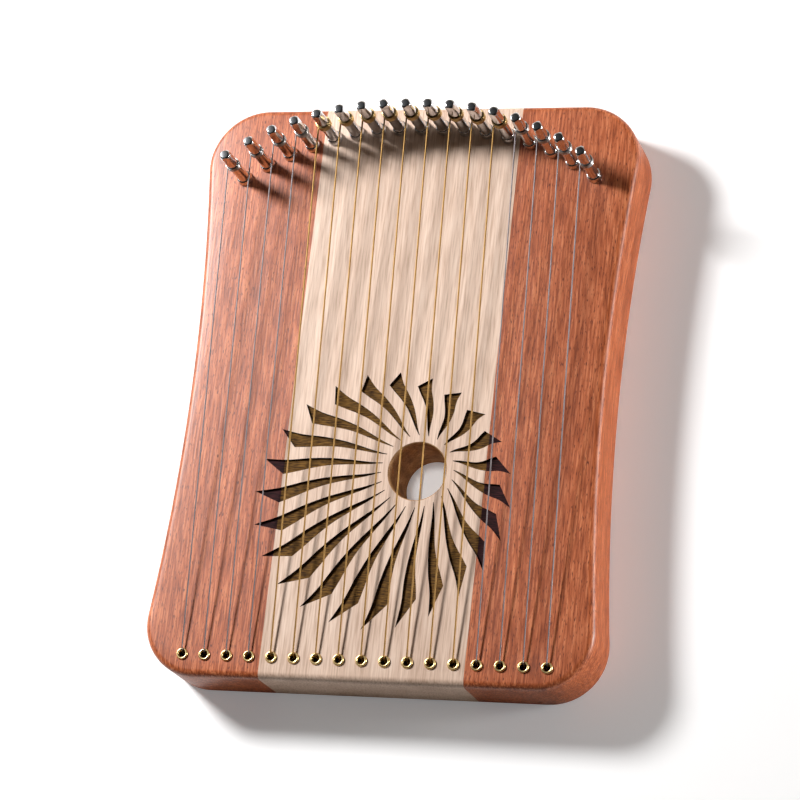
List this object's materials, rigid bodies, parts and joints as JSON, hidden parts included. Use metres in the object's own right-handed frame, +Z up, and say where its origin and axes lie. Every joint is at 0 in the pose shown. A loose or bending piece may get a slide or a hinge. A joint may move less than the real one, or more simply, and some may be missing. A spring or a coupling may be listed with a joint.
{
  "type": "lap harp",
  "caption": "Small lap harp: a waisted solid board of glued light and dark wood strips, an offset sound hole in a carved sunburst, and strings from brass eyelets to an arc of tuning pins.",
  "frame": {"origin": "middle of the flat back face that the harp lies on", "axes": "+X to the right across the strings, +Y along the strings from the eyelets to the tuning pins, +Z up out of the face that carries the strings"},
  "size_m": [0.1974, 0.26, 0.056],
  "materials": {
    "mahogany": "satin, open pored reddish brown wood with upright grain",
    "maple": "satin, pale wood with fine upright grain; burnt brown in the carving",
    "chrome": "polished nickel or chrome plate",
    "brass": "polished brass eyelet",
    "steel_string": "bright plain steel wire with a brass ball end",
    "bronze_string": "bronze wound wire with a brass ball end"
  },
  "bodies": {
    "harp_board": {"left_board": "mahogany", "centre_board": "maple", "right_board": "mahogany", "eyelet_01": "brass", "eyelet_02": "brass", "eyelet_03": "brass", "eyelet_04": "brass", "eyelet_05": "brass", "eyelet_06": "brass", "eyelet_07": "brass", "eyelet_08": "brass", "eyelet_09": "brass", "eyelet_10": "brass", "eyelet_11": "brass", "eyelet_12": "brass", "eyelet_13": "brass", "eyelet_14": "brass", "eyelet_15": "brass", "eyelet_16": "brass", "eyelet_17": "brass", "string_01": "steel_string", "string_02": "steel_string", "string_03": "steel_string", "string_04": "steel_string", "string_05": "bronze_string", "string_06": "bronze_string", "string_07": "bronze_string", "string_08": "bronze_string", "string_09": "bronze_string", "string_10": "bronze_string", "string_11": "bronze_string", "string_12": "bronze_string", "string_13": "bronze_string", "string_14": "steel_string", "string_15": "steel_string", "string_16": "steel_string", "string_17": "steel_string"},
    "pin_01": {"tuning_pin_01": "chrome"},
    "pin_02": {"tuning_pin_02": "chrome"},
    "pin_03": {"tuning_pin_03": "chrome"},
    "pin_04": {"tuning_pin_04": "chrome"},
    "pin_05": {"tuning_pin_05": "chrome"},
    "pin_06": {"tuning_pin_06": "chrome"},
    "pin_07": {"tuning_pin_07": "chrome"},
    "pin_08": {"tuning_pin_08": "chrome"},
    "pin_09": {"tuning_pin_09": "chrome"},
    "pin_10": {"tuning_pin_10": "chrome"},
    "pin_11": {"tuning_pin_11": "chrome"},
    "pin_12": {"tuning_pin_12": "chrome"},
    "pin_13": {"tuning_pin_13": "chrome"},
    "pin_14": {"tuning_pin_14": "chrome"},
    "pin_15": {"tuning_pin_15": "chrome"},
    "pin_16": {"tuning_pin_16": "chrome"},
    "pin_17": {"tuning_pin_17": "chrome"}
  },
  "joints": [
    {"name": "tuning_pin_01_turn", "type": "hinge", "parent": "harp_board", "child": "pin_01", "pos_m": [-0.08, 0.0967, 0.028], "axis": [0, 0, -1], "range_deg": [-900, 20]},
    {"name": "tuning_pin_02_turn", "type": "hinge", "parent": "harp_board", "child": "pin_02", "pos_m": [-0.07, 0.10309, 0.028], "axis": [0, 0, -1], "range_deg": [-900, 20]},
    {"name": "tuning_pin_03_turn", "type": "hinge", "parent": "harp_board", "child": "pin_03", "pos_m": [-0.06, 0.10832, 0.028], "axis": [0, 0, -1], "range_deg": [-900, 20]},
    {"name": "tuning_pin_04_turn", "type": "hinge", "parent": "harp_board", "child": "pin_04", "pos_m": [-0.05, 0.11246, 0.028], "axis": [0, 0, -1], "range_deg": [-900, 20]},
    {"name": "tuning_pin_05_turn", "type": "hinge", "parent": "harp_board", "child": "pin_05", "pos_m": [-0.04, 0.11558, 0.028], "axis": [0, 0, -1], "range_deg": [-900, 20]},
    {"name": "tuning_pin_06_turn", "type": "hinge", "parent": "harp_board", "child": "pin_06", "pos_m": [-0.03, 0.11779, 0.028], "axis": [0, 0, -1], "range_deg": [-900, 20]},
    {"name": "tuning_pin_07_turn", "type": "hinge", "parent": "harp_board", "child": "pin_07", "pos_m": [-0.02, 0.11916, 0.028], "axis": [0, 0, -1], "range_deg": [-900, 20]},
    {"name": "tuning_pin_08_turn", "type": "hinge", "parent": "harp_board", "child": "pin_08", "pos_m": [-0.01, 0.11984, 0.028], "axis": [0, 0, -1], "range_deg": [-900, 20]},
    {"name": "tuning_pin_09_turn", "type": "hinge", "parent": "harp_board", "child": "pin_09", "pos_m": [0, 0.12, 0.028], "axis": [0, 0, -1], "range_deg": [-900, 20]},
    {"name": "tuning_pin_10_turn", "type": "hinge", "parent": "harp_board", "child": "pin_10", "pos_m": [0.01, 0.11984, 0.028], "axis": [0, 0, -1], "range_deg": [-900, 20]},
    {"name": "tuning_pin_11_turn", "type": "hinge", "parent": "harp_board", "child": "pin_11", "pos_m": [0.02, 0.11916, 0.028], "axis": [0, 0, -1], "range_deg": [-900, 20]},
    {"name": "tuning_pin_12_turn", "type": "hinge", "parent": "harp_board", "child": "pin_12", "pos_m": [0.03, 0.11779, 0.028], "axis": [0, 0, -1], "range_deg": [-900, 20]},
    {"name": "tuning_pin_13_turn", "type": "hinge", "parent": "harp_board", "child": "pin_13", "pos_m": [0.04, 0.11558, 0.028], "axis": [0, 0, -1], "range_deg": [-900, 20]},
    {"name": "tuning_pin_14_turn", "type": "hinge", "parent": "harp_board", "child": "pin_14", "pos_m": [0.05, 0.11246, 0.028], "axis": [0, 0, -1], "range_deg": [-900, 20]},
    {"name": "tuning_pin_15_turn", "type": "hinge", "parent": "harp_board", "child": "pin_15", "pos_m": [0.06, 0.10832, 0.028], "axis": [0, 0, -1], "range_deg": [-900, 20]},
    {"name": "tuning_pin_16_turn", "type": "hinge", "parent": "harp_board", "child": "pin_16", "pos_m": [0.07, 0.10309, 0.028], "axis": [0, 0, -1], "range_deg": [-900, 20]},
    {"name": "tuning_pin_17_turn", "type": "hinge", "parent": "harp_board", "child": "pin_17", "pos_m": [0.08, 0.0967, 0.028], "axis": [0, 0, -1], "range_deg": [-900, 20]}
  ]
}
